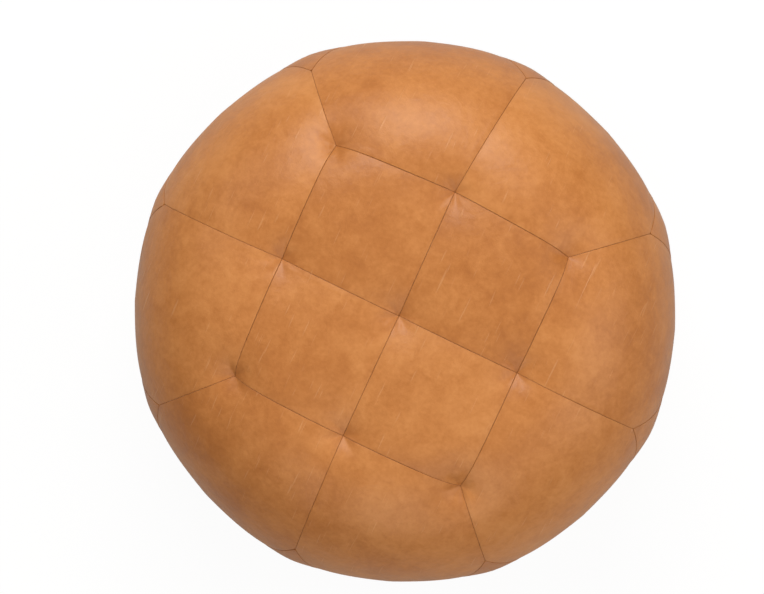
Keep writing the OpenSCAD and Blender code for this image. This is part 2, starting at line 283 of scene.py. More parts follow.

# %% [markdown]
# The leather is a camel hide with a semi-aniline finish: thin colour over natural grain. Up
# close it shows clouds of lighter and darker tan, small pores and a few pale scratches. A thin
# dark line of painted shade runs along each seam. A wider darker band beside each seam and round
# each tuft is partly burnish and partly painted shade. One material serves every panel. Each
# panel carries an attribute with an offset into the pattern, because real panels are cut from
# different places of the hide, and another with its distance from the nearest seam.


# %% Leather
def leather():
    g = Graph("camel_leather")
    where = g.add("ShaderNodeVectorMath", {"operation": "ADD"}, {
        0: g.place(), 1: g.attribute("hide_place", "Vector")})
    seam = g.attribute("seam_mm")
    tuft = g.attribute("tuft_mm")
    tone = g.attribute("hide_tone")

    clouds = g.noise(where, 9.0, 4.0, 0.55, 0.6)
    patches = g.noise(where, 28.0, 4.0, 0.62, 0.9)
    speckle = g.noise(where, 210.0, 3.0, 0.6)
    pores = g.add("ShaderNodeTexVoronoi", None, {"Vector": where, "Scale": 520.0})

    scratches = None
    for i, turn in enumerate((0.35, 1.05, 1.75, 2.45, -0.45)):
        along = g.shift(where, offset=(3.1 * i, 1.7 * i, 0.9 * i), turn=(0.0, 0.0, turn),
                        scale=(340.0, 22.0, 12.0))
        spot = g.noise(g.shift(where, offset=(0.7 * i, 0.3, 0.5 * i)), 16.0, 1.0)
        lines = g.noise(along, 1.0, 1.0, 0.5, 0.25).ramp(0.68, 0.80) * spot.ramp(0.50, 0.60)
        scratches = lines if scratches is None else scratches + lines

    shade = ((clouds - 0.5) * 0.62 + (patches - 0.5) * 0.50 + (speckle - 0.5) * 0.30
             + (g.noise(where, 90.0, 3.0, 0.6) - 0.5) * 0.28 + tone)
    depth = (shade + 0.5).ramp(0.0, 1.0)
    colour = g.add("ShaderNodeValToRGB", {"stops": (
        (0.0, (0.345, 0.112, 0.024)), (0.35, (0.445, 0.160, 0.038)),
        (0.62, (0.520, 0.202, 0.054)), (1.0, (0.61, 0.262, 0.082)))}, {"Fac": depth})
    colour = g.mix(scratches.ramp(0.0, 1.0) * 0.20, colour, (0.74, 0.41, 0.20))
    # Painted shade: a thin dark line within 0.8 mm of each seam stands in for the shade in the seam
    # groove. The same band is also made rougher.
    seam_groove_shade = 1.0 - seam.ramp(0.0, 0.8)
    # Partly burnish and partly painted shade: a faint darker band up to 7 mm from each seam.
    seam_burnish_and_shade = 1.0 - seam.ramp(0.5, 7.0)
    colour = g.mix(seam_burnish_and_shade * 0.06, colour, (0.33, 0.12, 0.035))
    colour = g.mix(seam_groove_shade * 0.26, colour, (0.10, 0.035, 0.012))
    # Partly burnish and partly painted shade: the leather is darker within 20 mm of each tuft pit.
    tuft_burnish_and_shade = 1.0 - tuft.ramp(2.0, 20.0)
    colour = g.mix(tuft_burnish_and_shade * 0.16, colour, (0.30, 0.11, 0.03))

    grain = (pores.ramp(0.0, 0.55) * 0.6 + g.noise(where, 900.0, 2.0, 0.6) * 0.4)
    creases = g.noise(where, 75.0, 5.0, 0.62, 1.2)
    normal = g.bump(grain, 0.00012, 0.55)
    normal = g.bump(creases, 0.0011, 0.35, normal)
    normal = g.bump(g.noise(where, 19.0, 3.0, 0.5), 0.006, 0.30, normal)
    normal = g.bump(scratches, 0.0004, 0.5, normal)
    rough = 0.40 + (patches - 0.5) * 0.22 + (speckle - 0.5) * 0.10 + seam_groove_shade * 0.25
    return g.finish(Base_Color=colour, Roughness=rough, Normal=normal,
                    Specular_IOR_Level=0.30, Sheen_Weight=0.02, Sheen_Roughness=0.45,
                    Sheen_Tint=(1.0, 0.86, 0.74))


leather_finish = leather()
print("leather nodes:", len(leather_finish.node_tree.nodes))

# %% [markdown]
# The pouf's outline is one upright curve turned about the middle: a flat crown, a wide
# shoulder, a short belly, a tucked lower edge and a flat base. A point of the cover is given by
# its turn about the axis and by the length s along that curve from the crown. Unrolled as a
# flat map around the crown, every seam becomes a simple line, and a panel is the patch between
# its seams.

# %% Outline of the pouf
BELLY_R, HEIGHT = cad_box[1].x, cad_box[1].z
SHOULDER_R, TUCK_R = 0.160, 0.140
SQUARE = 0.136
CROWN_S = BELLY_R - SHOULDER_R
SHOULDER_S = CROWN_S + SHOULDER_R * math.pi / 2
BELLY_S = SHOULDER_S + HEIGHT - SHOULDER_R - TUCK_R
TUCK_S = BELLY_S + TUCK_R * math.pi / 2
CENTRE_S = TUCK_S + BELLY_R - TUCK_R
OUTLINE_MEAN, OUTLINE_SWING = -0.006, 0.0115


def smooth(x):
    x = np.clip(x, 0.0, 1.0)
    return x * x * (3 - 2 * x)


def outline(s):
    """Radius, height and outward direction (radial, upward) at length s from the crown."""
    s = np.asarray(s, float)
    over = np.clip((s - CROWN_S) / SHOULDER_R, 0, math.pi / 2)
    under = np.clip((s - BELLY_S) / TUCK_R, 0, math.pi / 2)
    flat_top = np.minimum(s, CROWN_S)
    belly = np.clip(s - SHOULDER_S, 0, BELLY_S - SHOULDER_S)
    flat_base = np.clip(s - TUCK_S, 0, None)
    radius = flat_top + SHOULDER_R * np.sin(over) - TUCK_R * (1 - np.cos(under)) - flat_base
    height = HEIGHT - SHOULDER_R * (1 - np.cos(over)) - belly - TUCK_R * np.sin(under)
    return radius, height, np.sin(over) * np.cos(under), np.cos(over) - np.sin(under)


def s_of_radius(radius):
    """Length from the crown of a point at this radius on the top side."""
    radius = np.asarray(radius, float)
    over = np.arcsin(np.clip((radius - CROWN_S) / SHOULDER_R, 0, 1))
    return np.minimum(radius, CROWN_S) + SHOULDER_R * over


def on_cover(flat, lift=0.0):
    """3-D points and outward directions for points of the flat map, lifted outwards."""
    s = np.hypot(flat[..., 0], flat[..., 1])
    turn = np.arctan2(flat[..., 1], flat[..., 0])
    radius, height, out_r, out_z = outline(s)
    swing = (OUTLINE_MEAN + OUTLINE_SWING * np.cos(8 * turn)) * smooth((s - 0.15) / 0.2)
    swing = swing * (1 - smooth((s - BELLY_S) / 0.12))
    radius = radius * (1 + swing)
    around = np.stack([np.cos(turn), np.sin(turn), np.zeros_like(turn)], -1)
    out = around * out_r[..., None]
    out[..., 2] = out_z
    points = around * radius[..., None]
    points[..., 2] = height
    return points + out * np.asarray(lift)[..., None], out


print("outline length", round(CENTRE_S, 4), "widest", round(float(outline(SHOULDER_S)[0]), 4))

# %% [markdown]
# Hand-tufted work is never quite regular. The nine junctions sit on a square grid, and each is
# moved by a few millimetres, as are the eight points of the zigzag where the seams between the
# upper panels end. The waist zigzag then falls to a low point between each pair of forks, and
# plain seams run from there down to the base.

# %% Junctions of the seams
TUFT_SHIFT = {(-1, 1): (-4.3, -0.2), (0, 1): (-3.7, 6.1), (1, 1): (-0.4, -1.2),
              (-1, 0): (-0.7, 1.5), (0, 0): (-0.8, 0.4), (1, 0): (-0.2, -0.1),
              (-1, -1): (3.4, 1.4), (0, -1): (0.4, -2.2), (1, -1): (1.3, -0.3)}
FORK_SHIFT = ((-4.4, -3.6), (3.8, -6.0), (11.0, 5.5), (-1.4, -4.5),
              (-1.7, -3.7), (3.7, -3.6), (5.2, 2.1), (-3.1, -2.7))
FORK_R, LOW_Z, SEAM_ANGLE = 0.279, 0.0725, math.radians(40)
RING = ((1, 0), (1, 1), (0, 1), (-1, 1), (-1, 0), (-1, -1), (0, -1), (1, -1))
BASE_S = BELLY_S + TUCK_R * (math.pi / 2 - SEAM_ANGLE)
LOW_S = BELLY_S + TUCK_R * math.asin((TUCK_R - LOW_Z) / TUCK_R)


def map_point(x, y):
    """Point of the flat map above plan position x, y."""
    radius = math.hypot(x, y)
    if radius < 1e-9:
        return np.array([0.0, 0.0])
    return np.array([x, y]) * float(s_of_radius(radius)) / radius


def polar(turn, s):
    return np.stack([s * np.cos(turn), s * np.sin(turn)], -1)


tuft_plan = {p: np.array([p[0] * SQUARE + d[0] * MM, p[1] * SQUARE + d[1] * MM])
             for p, d in TUFT_SHIFT.items()}
forks = [map_point(FORK_R * math.cos(k * math.pi / 4) + d[0] * MM,
                   FORK_R * math.sin(k * math.pi / 4) + d[1] * MM)
         for k, d in enumerate(FORK_SHIFT)]
tuft_points = on_cover(np.array([map_point(*p) for p in tuft_plan.values()]))[0]
print("tufts", len(tuft_plan), "forks", len(forks))


# %% [markdown]
# A seam is drawn as a function from 0 to 1 that gives points of the flat map. Seams between
# squares are straight in plan. The others are straight on the unrolled map, or follow a level
# line round the base.

# %% Seam lines
def plan_line(a, b):
    def line(t):
        plan = a + (b - a) * np.asarray(t)[:, None]
        radius = np.maximum(np.hypot(plan[:, 0], plan[:, 1]), 1e-9)
        return plan * (s_of_radius(radius) / radius)[:, None]
    return line


def map_line(a, b):
    return lambda t: a + (b - a) * np.asarray(t)[:, None]


def polar_line(turn_a, s_a, turn_b, s_b):
    return lambda t: polar(turn_a + (turn_b - turn_a) * np.asarray(t),
                           s_a + (s_b - s_a) * np.asarray(t))


def joined(first, second):
    """Two lines one after the other, each taking half of 0 to 1."""
    def line(t):
        t = np.asarray(t)
        return np.where((t < 0.5)[:, None], first(np.clip(2 * t, 0, 1)),
                        second(np.clip(2 * t - 1, 0, 1)))
    return line


def backwards(line):
    return lambda t: line(1 - np.asarray(t))


def fork_turn(k):
    """Turn of fork k, kept near k eighths so that lines never wrap round."""
    x, y = forks[k % 8]
    turn = math.atan2(y, x)
    return turn + 2 * math.pi * round((k * math.pi / 4 - turn) / (2 * math.pi))


def low_turn(k):
    return (k + 0.5) * math.pi / 4


def arm_right(k):
    """From fork k down to the low point on its higher-turn side."""
    return polar_line(fork_turn(k), float(np.hypot(*forks[k % 8])), low_turn(k), LOW_S)


def arm_left(k):
    """From fork k down to the low point on its lower-turn side."""
    return polar_line(fork_turn(k), float(np.hypot(*forks[k % 8])), low_turn(k - 1), LOW_S)


ZIP_FIRST, ZIP_LAST, ZIP_HALF = 1, 3, 5.0 * MM


def lower_s(k):
    """Where side panel k ends, drawn back from the seam where the zip runs."""
    return BASE_S - (ZIP_HALF if ZIP_FIRST <= k <= ZIP_LAST else 0.0)


print("zigzag from s", round(float(np.hypot(*forks[0])), 3), "to", round(LOW_S, 3))

# %% [markdown]
# Each panel is a four-sided patch: bottom, top, left and right seam. The five-sided upper
# panels treat the two arms of the zigzag as one side with a corner in it. A Coons patch blends
# the four sides, so neighbours share their seams exactly.

# %% Panels


def coons(sides, u, v):
    """Flat-map points of the patch at every pair of u and v."""
    bottom, top, left, right = sides
    b, t, l, r = bottom(u), top(u), left(v), right(v)
    uu, vv = u[:, None, None], v[None, :, None]
    blend = (1 - vv) * b[:, None] + vv * t[:, None] + (1 - uu) * l[None] + uu * r[None]
    ends = np.array([0.0, 1.0])
    (b0, b1), (t0, t1) = bottom(ends), top(ends)
    return blend - ((1 - uu) * (1 - vv) * b0 + uu * (1 - vv) * b1
                    + (1 - uu) * vv * t0 + uu * vv * t1)


def square_sides(k):
    corner = [(0, 0), (1, 0), (1, 1), (0, 1)]
    turned = [(round(x * math.cos(k * math.pi / 2) - y * math.sin(k * math.pi / 2)),
               round(x * math.sin(k * math.pi / 2) + y * math.cos(k * math.pi / 2)))
              for x, y in corner]
    a, b, c, d = (tuft_plan[p] for p in turned)
    return plan_line(a, b), plan_line(d, c), plan_line(a, d), plan_line(b, c)


def upper_sides(k):
    a, b = RING[k], RING[(k + 1) % 8]
    left = map_line(map_point(*tuft_plan[a]), forks[k])
    right = map_line(map_point(*tuft_plan[b]), forks[(k + 1) % 8])
    top = joined(arm_right(k), backwards(arm_left(k + 1)))
    return plan_line(tuft_plan[a], tuft_plan[b]), top, left, right


def lower_sides(k):
    top = joined(backwards(arm_left(k)), arm_right(k))
    s = lower_s(k)
    left = polar_line(low_turn(k - 1), s, low_turn(k - 1), LOW_S)
    right = polar_line(low_turn(k), s, low_turn(k), LOW_S)
    return polar_line(low_turn(k - 1), s, low_turn(k), s), top, left, right


panels = {}
for k in range(4):
    panels[f"top_panel_{k + 1}"] = square_sides(k)
for k in range(8):
    panels[f"upper_panel_{k + 1}"] = upper_sides(k)
    panels[f"lower_panel_{k + 1}"] = lower_sides(k)
print("panels with four sides:", len(panels))

# %% [markdown]
# Filled leather swells between its seams and is pulled deep at the nine tufts. The height of a
# point above the plain outline is a rule in its distances to the panel's own seams and to the
# tufts: a soft pillow between the seams, a shallow valley along each, and a narrow pit with a
# few radiating folds round every tuft. Distances are measured in space, to finely sampled lines.

# %% Swell, valleys and tufts
TUFT_DEPTH, TUFT_REACH = 13.0 * MM, 19.0 * MM
PILLOW = {"top": 4.6 * MM, "upper": 7.0 * MM, "lower": 3.6 * MM}
SIDE_REACH = {"top": (30, 30, 30, 30), "upper": (38, 110, 45, 45),
              "lower": (60, 110, 50, 50)}
SINK_TOP, SINK_WAIST = 1.8 * MM, 0.7 * MM
rng = np.random.default_rng(7)
FOLD_TURNS = rng.uniform(0, 2 * math.pi, (9, 2))
FOLD_COUNTS = rng.integers(4, 8, (9, 2))


def distance_to(points, line_points):
    """Distance from each point to a sampled line, between its samples too."""
    flat = points.reshape(-1, 3)
    best = np.full(len(flat), 1e9)
    a, b = line_points[:-1], line_points[1:]
    ab = b - a
    length2 = np.maximum((ab ** 2).sum(1), 1e-12)
    for i in range(len(a)):
        t = np.clip(((flat - a[i]) @ ab[i]) / length2[i], 0, 1)
        gap = flat - (a[i] + t[:, None] * ab[i])
        best = np.minimum(best, (gap ** 2).sum(1))
    return np.sqrt(best).reshape(points.shape[:-1])


def tuft_fields(points, out):
    """Distance to the nearest tuft, and how far the tufts pull each point down."""
    nearest = np.full(points.shape[:-1], 1e9)
    pull = np.zeros(points.shape[:-1])
    for i, tuft in enumerate(tuft_points):
        gap = points - tuft
        far = np.sqrt((gap ** 2).sum(-1))
        turn = np.arctan2(gap[..., 1], gap[..., 0])
        pull = pull + TUFT_DEPTH * np.exp(-(far / TUFT_REACH) ** 1.15)
        folds = sum(np.cos(n * turn + t) for n, t in zip(FOLD_COUNTS[i], FOLD_TURNS[i]))
        ring = np.exp(-((far - 13 * MM) / (8 * MM)) ** 2)
        pull = pull + 0.35 * MM * folds * ring
        nearest = np.minimum(nearest, far)
    return nearest, pull


def sink(flat):
    """How deep the seams lie below the plain outline, at points of the flat map."""
    s = np.hypot(flat[..., 0], flat[..., 1])
    depth = SINK_TOP + (SINK_WAIST - SINK_TOP) * smooth((s - 0.20) / 0.11)
    return depth * smooth((np.abs(s - BASE_S) - 0.018) / 0.03)


def relief(kind, flat, side_lines):
    """Lift of each point, with its distances to the seams and to the nearest tuft."""
    points, out = on_cover(flat)
    gaps = [distance_to(points, line) for line in side_lines]
    pillow = np.ones(points.shape[:-1])
    for gap, reach in zip(gaps, SIDE_REACH[kind]):
        pillow = pillow * (1 - np.exp(-gap / (reach * MM)))
    nearest, pull = tuft_fields(points, out)
    lift = PILLOW[kind] * pillow * 1.5 - sink(flat) - pull
    return lift, gaps, nearest


def seam_samples(line, count=41):
    return on_cover(line(np.linspace(0, 1, count)))[0]


side_lines = {name: [seam_samples(line) for line in sides] for name, sides in panels.items()}
print("seam samples per side:", len(side_lines["top_panel_1"][0]))

# %% [markdown]
# A panel's mesh is graded: rows crowd together towards each seam, where the leather rolls over
# with a radius of just over half a millimetre and turns down into the seam. The turned allowance, the
# thickness of the hide and the inner face are part of the same closed mesh, so the seam is a
# real groove between two folds. The leather material also paints a thin line of shade along it.

# %% Panel meshes
LEATHER_T, ROLL = 1.6 * MM, 0.6 * MM
RIDGE_W, RIDGE_H = 5.6 * MM, 0.22 * MM
RIDGE_SIDES = {"top": (0,), "upper": (0, 2), "lower": (1, 2)}
TURNED_DEPTHS = np.array([1.2, 3.0, 6.4]) * MM
INNER_INSET, ZIP_TURNED_SHARE, WELD_DISTANCE = 1.8 * MM, 0.1, 2e-6
EDGE_STEPS = np.array([0.08, 0.18, 0.35, 0.6, 0.95, 1.5, 2.3, 3.4, 4.8, 6.2, 7.2, 8.2, 9.6,
                       12.0]) * MM


def graded(length, middle_step):
    """Places from 0 to 1 across a panel, crowded towards both ends."""
    edge = EDGE_STEPS / length
    inner = np.linspace(edge[-1], 1 - edge[-1], max(4, int(length / middle_step)))
    return np.concatenate([edge[:-1], inner, 1 - edge[:-1][::-1]])


def panel_surface(name, kind, u, v):
    flat = coons(panels[name], u, v)
    lift, gaps, tuft = relief(kind, flat, side_lines[name])
    nearest = np.min(gaps, 0)
    drop = np.where(nearest < ROLL, ROLL - np.sqrt(np.maximum(
        ROLL ** 2 - (ROLL - np.minimum(nearest, ROLL)) ** 2, 0)), 0)
    ridge = np.zeros_like(nearest)
    for side in RIDGE_SIDES[kind]:
        ridge = np.maximum(ridge, 1 - smooth((gaps[side] - RIDGE_W) / (2.0 * MM)))
    points, out = on_cover(flat, lift - drop + RIDGE_H * ridge)
    return points, out, nearest, tuft


def weld(work):
    bmesh.ops.remove_doubles(work, verts=work.verts, dist=WELD_DISTANCE)
    bmesh.ops.dissolve_degenerate(work, dist=WELD_DISTANCE / 2, edges=work.edges)


def mark_hide(mesh, seam_mm, tuft_mm, tone, place):
    """Writes the attributes that the leather reads, one value per vertex."""
    count = len(seam_mm)
    for key, values in (("seam_mm", seam_mm), ("tuft_mm", tuft_mm),
                        ("hide_tone", np.full(count, tone))):
        mesh.attributes.new(key, "FLOAT", "POINT").data.foreach_set(
            "value", np.asarray(values).astype(np.float32))
    mesh.attributes.new("hide_place", "FLOAT_VECTOR", "POINT").data.foreach_set(
        "vector", np.tile(np.asarray(place, np.float32), count))


def sheet_mesh(name, outer, out, inner, seam, tuft, place, tone, flip, at_zip):
    """Closed mesh of one panel: outer face, turned allowance, inner face."""
    nu, nv = outer.shape[:2]
    levels = len(TURNED_DEPTHS)
    iu = np.clip(np.arange(-levels, nu + levels), 0, nu - 1)
    iv = np.clip(np.arange(-levels, nv + levels), 0, nv - 1)
    du, dv = (np.maximum(np.maximum(-steps, steps - n + 1), 0)
              for n, steps in ((m, np.arange(-levels, m + levels)) for m in (nu, nv)))
    level = np.maximum(du[:, None], dv[None, :])
    depth = np.concatenate([[0.0], TURNED_DEPTHS])[level]
    if at_zip:
        beside = np.clip((np.minimum(iv, 12) / 12.0), 0.08, 1.0)[None, :]
        depth = depth * beside
    grids, marks = [], []
    for face in (outer, inner):
        grid = face[np.ix_(iu, iv)] - out[np.ix_(iu, iv)] * depth[..., None]
        grids.append(grid)
        marks.append(np.where(level > 0, 0.0, seam[np.ix_(iu, iv)]))
    shape = grids[0].shape[:2]
    count = shape[0] * shape[1]
    index = np.arange(count).reshape(shape)
    quads = np.stack([index[:-1, :-1], index[1:, :-1], index[1:, 1:], index[:-1, 1:]], -1)
    quads = quads.reshape(-1, 4)
    border = np.concatenate([index[:-1, 0], index[-1, :-1], index[:0:-1, -1], index[0, :0:-1]])
    nxt = np.roll(border, -1)
    rim = np.stack([nxt, border, border + count, nxt + count], -1)
    faces = np.concatenate([quads, quads[:, ::-1] + count, rim])
    if flip:
        faces = faces[:, ::-1]
    mesh = bpy.data.meshes.new(name)
    mesh.from_pydata(np.concatenate([g.reshape(-1, 3) for g in grids]).tolist(), [],
                     faces.tolist())
    mark_hide(mesh, np.concatenate([m.ravel() for m in marks]) / MM,
              np.tile(tuft[np.ix_(iu, iv)].ravel() / MM, 2), tone, place)
    work = bmesh.new()
    work.from_mesh(mesh)
    weld(work)
    work.to_mesh(mesh)
    work.free()
    mesh.shade_smooth()
    return mesh


def add_object(name, mesh, material=None, body=POUF, replaced=()):
    thing = bpy.data.objects.new(name, mesh)
    bpy.context.scene.collection.objects.link(thing)
    if material is not None:
        mesh.materials.clear()
        mesh.materials.append(material)
    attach(thing, body)
    if replaced:
        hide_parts(*replaced)
    return thing


tones = np.random.default_rng(11)
for name, sides in panels.items():
    kind = name.split("_")[0]
    lines = side_lines[name]
    spans = [np.linalg.norm(np.diff(line, axis=0), axis=1).sum() for line in lines]
    step = 3.2 * MM if kind == "top" else 4.5 * MM
    u = graded((spans[0] + spans[1]) / 2, step)
    v = graded((spans[2] + spans[3]) / 2, step)
    outer, out, seam, tuft = panel_surface(name, kind, u, v)
    inner_u = np.clip(u, INNER_INSET / spans[0], 1 - INNER_INSET / spans[0])
    inner_v = np.clip(v, INNER_INSET / spans[2], 1 - INNER_INSET / spans[2])
    inner, inner_out, _, _ = panel_surface(name, kind, inner_u, inner_v)
    inner = inner - inner_out * LEATHER_T
    place = tones.uniform(-3, 3, 3)
    tone = tones.uniform(-0.07, 0.07)
    flip = kind == "lower"
    at_zip = kind == "lower" and ZIP_FIRST <= int(name[-1]) - 1 <= ZIP_LAST
    mesh = sheet_mesh(name + "_leather", outer, out, inner, seam, tuft, place, tone,
                      flip, at_zip)
    add_object(name + "_leather", mesh, leather_finish, replaced=[name])
print("panels made:", len(panels))

# %% [markdown]
# The base is one disc of the same hide. It is the last panel, and the only one laid out in
# rings. Its edge stops at the base seam, and over the zip it is drawn back by half the slot, so
# that the zip shows. The middle lies flat on the floor, so nothing here swells downwards.

# %% Base panel
AROUND = 288
ring_turns = np.linspace(0, 2 * math.pi, AROUND, endpoint=False)


def orient(mesh):
    """Welds a closed mesh and makes sure its faces point outwards."""
    work = bmesh.new()
    work.from_mesh(mesh)
    weld(work)
    if work.calc_volume(signed=True) < 0:
        bmesh.ops.reverse_faces(work, faces=work.faces)
    open_edges = sum(not e.is_manifold for e in work.edges)
    work.to_mesh(mesh)
    work.free()
    mesh.shade_smooth()
    return open_edges


def ring_mesh(name, rings, close_start=False, close_end=False):
    """Mesh of rings of points; an end can close onto one pole vertex."""
    count = rings.shape[1]
    index = np.arange(rings.shape[0] * count).reshape(rings.shape[:2])
    nxt = np.roll(index, -1, 1)
    faces = np.stack([index[:-1], nxt[:-1], nxt[1:], index[1:]], -1).reshape(-1, 4).tolist()
    points = rings.reshape(-1, 3).tolist()
    for wanted, row, flip in ((close_start, 0, True), (close_end, -1, False)):
        if wanted:
            points.append(rings[row].mean(0).tolist())
            pole = len(points) - 1
            for a, b in zip(index[row], nxt[row]):
                faces.append([b, a, pole] if flip else [a, b, pole])
    mesh = bpy.data.meshes.new(name)
    mesh.from_pydata(points, [], faces)
    return mesh


def zip_window(turn):
    """1 over the zip's stretch of the base seam, 0 elsewhere."""
    away = np.abs((np.asarray(turn) - math.pi / 2 + math.pi) % (2 * math.pi) - math.pi)
    return 1 - smooth((away - math.radians(67.5)) / math.radians(0.8))


edge_s = BASE_S + ZIP_HALF * zip_window(ring_turns)
steps = np.concatenate([EDGE_STEPS, np.linspace(0.016, CENTRE_S - BASE_S - 0.004, 44)])
rows, inner_rows, seam_marks = [], [], []
for step in steps:
    reach = (CENTRE_S - edge_s) / (CENTRE_S - BASE_S)
    flat = polar(ring_turns, edge_s + step * reach)
    fall = ROLL - math.sqrt(max(ROLL ** 2 - (ROLL - min(step, ROLL)) ** 2, 0)) if step < ROLL else 0
    rest = -sink(flat) * (1 - smooth((step - 0.01) / 0.05)) - fall
    points, out = on_cover(flat, rest)
    rows.append(points)
    flat_in = polar(ring_turns, edge_s + max(step, INNER_INSET) * reach)
    points_in, out_in = on_cover(flat_in, rest + fall)
    inner_rows.append(points_in - out_in * LEATHER_T)
    seam_marks.append(step)
    if step == steps[0]:
        edge_out, edge_in_out = out, out_in
shortened = 1 - (1 - ZIP_TURNED_SHARE) * zip_window(ring_turns)
turned, turned_in = ([first - out * (depth * shortened)[:, None] for depth in TURNED_DEPTHS[::-1]]
                     for first, out in ((rows[0], edge_out), (inner_rows[0], edge_in_out)))
outer_rings = np.array(turned + rows)
inner_rings = np.array(turned_in + inner_rows)
base_mesh = ring_mesh("base_leather", np.concatenate([outer_rings[::-1], inner_rings]),
                      close_start=True, close_end=True)
marks = [0.0] * 3 + seam_marks
marks = np.repeat(np.array(marks[::-1] + marks), AROUND)
marks = np.concatenate([marks, [0.2, 0.2]]) / MM
FAR_FROM_TUFTS, BASE_TONE, BASE_PLACE = 200.0, -0.04, (1.2, -0.7, 0.4)
mark_hide(base_mesh, marks, np.full(len(marks), FAR_FROM_TUFTS), BASE_TONE, BASE_PLACE)
print("base panel open edges:", orient(base_mesh))
add_object("base_leather", base_mesh, leather_finish, replaced=["base_panel"])

# %% [markdown]
# The small parts need their own finishes: plain woven cotton, lofted fibre, two foams, twisted
# twine, sewing thread, moulded washers, woven zip tape, a nylon coil and antique brass. Each is
# a few waves or noises on the piece's own coordinates, so none of them needs an image.


# %% Finishes of the small parts
def woven(name, colour, dark, threads=900.0, rough=0.85):
    g = Graph(name)
    where = g.place()
    bands = [g.add("ShaderNodeTexWave", {"bands_direction": axis}, {
        "Vector": where, "Scale": threads / 20.0, "Distortion": 0.6, "Detail": 1.0})
        .out("Fac") for axis in "XYZ"]
    weave = (bands[0] * bands[1] + bands[2] * 0.5).ramp(0.1, 0.9)
    slub = g.noise(where, 60.0, 3.0)
    return g.finish(Base_Color=g.mix((weave * 0.6 + slub * 0.4).ramp(0.2, 0.8), dark, colour),
                    Roughness=rough, Normal=g.bump(weave, 0.0003, 0.5))


def noisy(name, colour, dark, scale, rough, distance, metal=0.0, coarse=12.0):
    g = Graph(name)
    where = g.place()
    fine, broad = g.noise(where, scale, 4.0, 0.6), g.noise(where, coarse, 3.0)
    return g.finish(Base_Color=g.mix((fine * 0.6 + broad * 0.4).ramp(0.3, 0.7), dark, colour),
                    Roughness=rough + (fine - 0.5) * 0.2, Metallic=metal,
                    Normal=g.bump(fine, distance, 0.6))


def foam(name, colour, dark):
    g = Graph(name)
    cells = g.add("ShaderNodeTexVoronoi", None, {"Vector": g.place(), "Scale": 420.0})
    open_cell = cells.ramp(0.05, 0.5)
    return g.finish(Base_Color=g.mix(open_cell, dark, colour), Roughness=0.95,
                    Normal=g.bump(open_cell, 0.0006, 0.7))


finishes = {
    "thread": noisy("brown_thread", (0.33, 0.15, 0.06), (0.22, 0.09, 0.03), 1500.0, 0.6, 0.0001),
    "cotton": woven("natural_cotton", (0.86, 0.81, 0.72), (0.68, 0.62, 0.53)),
    "fibre_wrap": noisy("lofted_fibre", (0.93, 0.93, 0.91), (0.76, 0.76, 0.74), 180.0, 0.95,
                        0.0012),
    "soft_foam": foam("soft_foam", (0.90, 0.83, 0.60), (0.70, 0.62, 0.40)),
    "firm_foam": foam("firm_foam", (0.56, 0.68, 0.75), (0.38, 0.50, 0.58)),
    "twine": woven("jute_twine", (0.70, 0.58, 0.40), (0.45, 0.34, 0.20), 1600.0),
    "washer": noisy("moulded_washer", (0.10, 0.10, 0.11), (0.06, 0.06, 0.065), 700.0, 0.55,
                    0.0001),
    "zip_tape": woven("zip_tape_weave", (0.20, 0.105, 0.05), (0.11, 0.055, 0.026), 2400.0, 0.8),
    "zip_coil": noisy("nylon_coil", (0.23, 0.12, 0.06), (0.15, 0.075, 0.04), 900.0, 0.38, 0.00005),
    "brass": noisy("antique_brass", (0.62, 0.44, 0.20), (0.34, 0.22, 0.09), 240.0, 0.34, 0.00008,
                   metal=1.0, coarse=60.0),
}
for row in frame["record"]["subparts"]:
    piece = frame["nodes"][row["node"]]
    finish = leather_finish if row["material_slot"] == "leather" else finishes[row["material_slot"]]
    piece.data.materials.clear()
    piece.data.materials.append(finish)
print("finishes:", len(finishes) + 1)

# %% [markdown]
# The filling follows the cover. Where the twines pull the leather down, they pull the liner,
# the fibre wrap and the soft foam with it, so each layer is the same outline, sunk by a further
# amount and, on the top side, by the same pits. The liner is cloth, and the wrap and the foams
# are padding. Holes
# for the pull tabs are cut afterwards with a Boolean, which a mesh of rings can't hold itself.


# %% Liner, wrap and soft foam
def cutter(radius_low, radius_high, step_z, bottom=0.20, top=0.42):
    """Nine stepped rods, one at each tuft."""
    work = bmesh.new()
    for tuft, at in tuft_plan.items():
        level = step_z(tuft)
        profile = [(radius_low, bottom), (radius_low, level), (radius_high, level + 0.001),
                   (radius_high, top)]
        turns = np.linspace(0, 2 * math.pi, 24, endpoint=False)
        rings = [[work.verts.new((at[0] + r * math.cos(t), at[1] + r * math.sin(t), z))
                  for t in turns] for r, z in profile]
        for low, high in zip(rings[:-1], rings[1:]):
            for i in range(24):
                work.faces.new((low[i], low[(i + 1) % 24], high[(i + 1) % 24], high[i]))
        work.faces.new(rings[0][::-1])
        work.faces.new(rings[-1])
    mesh = bpy.data.meshes.new("cutter")
    work.to_mesh(mesh)
    work.free()
    return mesh


def cut_away(mesh, tool_mesh):
    holder, tool = (bpy.data.objects.new("cutting", m) for m in (mesh, tool_mesh))
    for thing in (holder, tool):
        bpy.context.scene.collection.objects.link(thing)
    cut = holder.modifiers.new("cut", "BOOLEAN")
    cut.object, cut.operation, cut.solver = tool, "DIFFERENCE", "EXACT"
    graph = bpy.context.evaluated_depsgraph_get()
    result = bpy.data.meshes.new_from_object(holder.evaluated_get(graph))
    for thing in (holder, tool):
        bpy.data.objects.remove(thing)
    result.shade_smooth()
    return result


